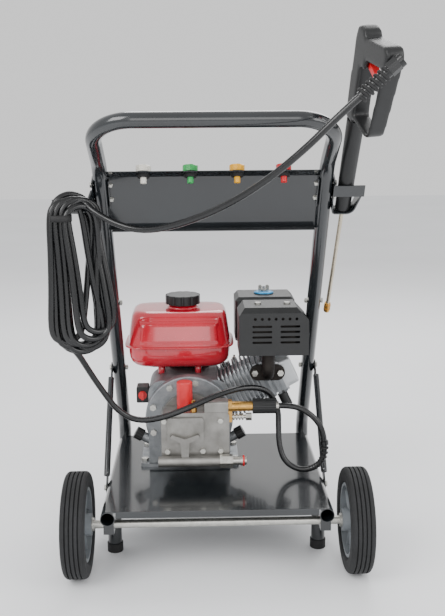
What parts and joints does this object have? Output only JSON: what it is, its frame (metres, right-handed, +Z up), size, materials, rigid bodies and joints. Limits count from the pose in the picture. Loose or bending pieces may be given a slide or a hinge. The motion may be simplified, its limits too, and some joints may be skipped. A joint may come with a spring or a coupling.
{
  "type": "pressure washer",
  "caption": "Petrol pressure washer on a two-wheeled tube trolley, with engine, axial pump, nozzle panel, spray gun in its holder and a coiled hose.",
  "frame": {"origin": "on the floor, in the middle of the box round the machine without its hose", "axes": "+X to the right of a person facing the nozzle panel, +Y towards the recoil starter, +Z up"},
  "size_m": [0.608, 0.6314, 1.0144],
  "materials": {
    "frame_paint": "gloss",
    "tyre_rubber": "matt",
    "rim_plastic": "satin",
    "zinc": "satin",
    "rubber": "matt",
    "black_plastic": "satin",
    "white_plastic": "satin",
    "green_plastic": "satin",
    "yellow_plastic": "satin",
    "red_plastic": "satin",
    "cast_aluminium": "cast",
    "pump_aluminium": "cast",
    "rocker_paint": "satin",
    "tank_paint": "gloss",
    "guard_paint": "satin",
    "muffler_steel": "matt",
    "steel": "machined",
    "brass": "machined",
    "stainless": "satin",
    "hose_rubber": "gloss"
  },
  "bodies": {
    "trolley": {"air_cleaner": "black_plastic", "axle": "zinc", "axle_nuts": "zinc", "bend_restrictor": "hose_rubber", "brace_left": "frame_paint", "brace_right": "frame_paint", "brass_fittings": "brass", "breather_plug": "red_plastic", "carburettor": "cast_aluminium", "crankcase": "cast_aluminium", "crankcase_cover": "cast_aluminium", "cylinder": "cast_aluminium", "deck_plate": "frame_paint", "engine_bolts": "zinc", "fan_housing": "black_plastic", "feet": "rubber", "frame_bolts": "zinc", "fuel_tank": "tank_paint", "grommets": "rubber", "gun_body": "black_plastic", "gun_holder": "frame_paint", "handle_frame": "frame_paint", "hose_coil": "hose_rubber", "hose_hook": "frame_paint", "hose_lower": "hose_rubber", "hose_upper": "hose_rubber", "ignition": "black_plastic", "lance_coupler": "brass", "lance_grip": "black_plastic", "lance_tube": "stainless", "lower_upright_left": "frame_paint", "lower_upright_right": "frame_paint", "muffler": "muffler_steel", "muffler_guard": "guard_paint", "nozzle_panel": "frame_paint", "pump_body": "pump_aluminium", "pump_manifold": "pump_aluminium", "rocker_cover": "rocker_paint", "side_tube_left": "frame_paint", "side_tube_right": "frame_paint", "steel_fittings": "steel", "strain_relief": "hose_rubber"},
    "wheel_left": {"tyre_left": "tyre_rubber", "rim_left": "rim_plastic"},
    "wheel_right": {"tyre_right": "tyre_rubber", "rim_right": "rim_plastic"},
    "nozzle_white": {"nozzle_white": "white_plastic"},
    "nozzle_green": {"nozzle_green": "green_plastic"},
    "nozzle_yellow": {"nozzle_yellow": "yellow_plastic"},
    "nozzle_red": {"nozzle_red": "red_plastic"},
    "fuel_cap": {"fuel_cap": "black_plastic"},
    "wing_nut": {"wing_nut": "zinc"},
    "oil_cap_left": {"oil_cap_left": "black_plastic"},
    "oil_cap_right": {"oil_cap_right": "black_plastic"},
    "recoil_grip": {"recoil_grip": "black_plastic"},
    "crankshaft": {"crankshaft": "steel"},
    "throttle_lever": {"throttle_lever": "steel"},
    "engine_switch": {"engine_switch": "red_plastic"},
    "coupler_collar": {"coupler_collar": "black_plastic"},
    "trigger": {"trigger": "red_plastic"}
  },
  "joints": [
    {"name": "wheel_left_spin", "type": "hinge", "parent": "trolley", "child": "wheel_left", "pos_m": [-0.268, -0.1093, 0.1015], "axis": [1, 0, 0], "continuous": true},
    {"name": "wheel_right_spin", "type": "hinge", "parent": "trolley", "child": "wheel_right", "pos_m": [0.268, -0.1093, 0.1015], "axis": [1, 0, 0], "continuous": true},
    {"name": "nozzle_white_pull", "type": "slide", "parent": "trolley", "child": "nozzle_white", "axis": [0, 0.2756, 0.9613], "range_m": [0, 0.03]},
    {"name": "nozzle_green_pull", "type": "slide", "parent": "trolley", "child": "nozzle_green", "axis": [0, 0.2756, 0.9613], "range_m": [0, 0.03]},
    {"name": "nozzle_yellow_pull", "type": "slide", "parent": "trolley", "child": "nozzle_yellow", "axis": [0, 0.2756, 0.9613], "range_m": [0, 0.03]},
    {"name": "nozzle_red_pull", "type": "slide", "parent": "trolley", "child": "nozzle_red", "axis": [0, 0.2756, 0.9613], "range_m": [0, 0.03]},
    {"name": "fuel_cap_turn", "type": "hinge", "parent": "trolley", "child": "fuel_cap", "pos_m": [-0.066, 0.2147, 0.475], "axis": [0, 0, 1], "continuous": true},
    {"name": "wing_nut_turn", "type": "hinge", "parent": "trolley", "child": "wing_nut", "pos_m": [0.113, 0.2307, 0.49], "axis": [0, 0, 1], "continuous": true},
    {"name": "oil_cap_left_turn", "type": "hinge", "parent": "trolley", "child": "oil_cap_left", "pos_m": [-0.124, 0.0867, 0.193], "axis": [-0.866, 0, 0.5], "continuous": true},
    {"name": "oil_cap_right_turn", "type": "hinge", "parent": "trolley", "child": "oil_cap_right", "pos_m": [0.016, 0.0867, 0.193], "axis": [0.866, 0, 0.5], "continuous": true},
    {"name": "recoil_pull", "type": "slide", "parent": "trolley", "child": "recoil_grip", "axis": [1, 0, 0], "range_m": [0, 0.25], "stiffness_N_per_m": 40, "springref_m": -0.05},
    {"name": "crankshaft_spin", "type": "hinge", "parent": "trolley", "child": "crankshaft", "pos_m": [-0.054, 0, 0.248], "axis": [0, 1, 0], "continuous": true},
    {"name": "throttle_swing", "type": "hinge", "parent": "trolley", "child": "throttle_lever", "pos_m": [0.042, 0.2377, 0.292], "axis": [1, 0, 0], "range_deg": [-25, 30]},
    {"name": "switch_turn", "type": "hinge", "parent": "trolley", "child": "engine_switch", "pos_m": [-0.153, 0.1157, 0.29], "axis": [0, 1, 0], "range_deg": [0, 60]},
    {"name": "coupler_turn", "type": "hinge", "parent": "trolley", "child": "coupler_collar", "pos_m": [0.1, 0.0217, 0.292], "axis": [1, 0, 0], "continuous": true},
    {"name": "trigger_pull", "type": "hinge", "parent": "trolley", "child": "trigger", "pos_m": [0.25939, -0.20241, 0.95166], "axis": [-0.9802, -0.1838, -0.0742], "range_deg": [0, 10], "stiffness_Nm_per_rad": 0.4, "springref_deg": -8.59}
  ]
}
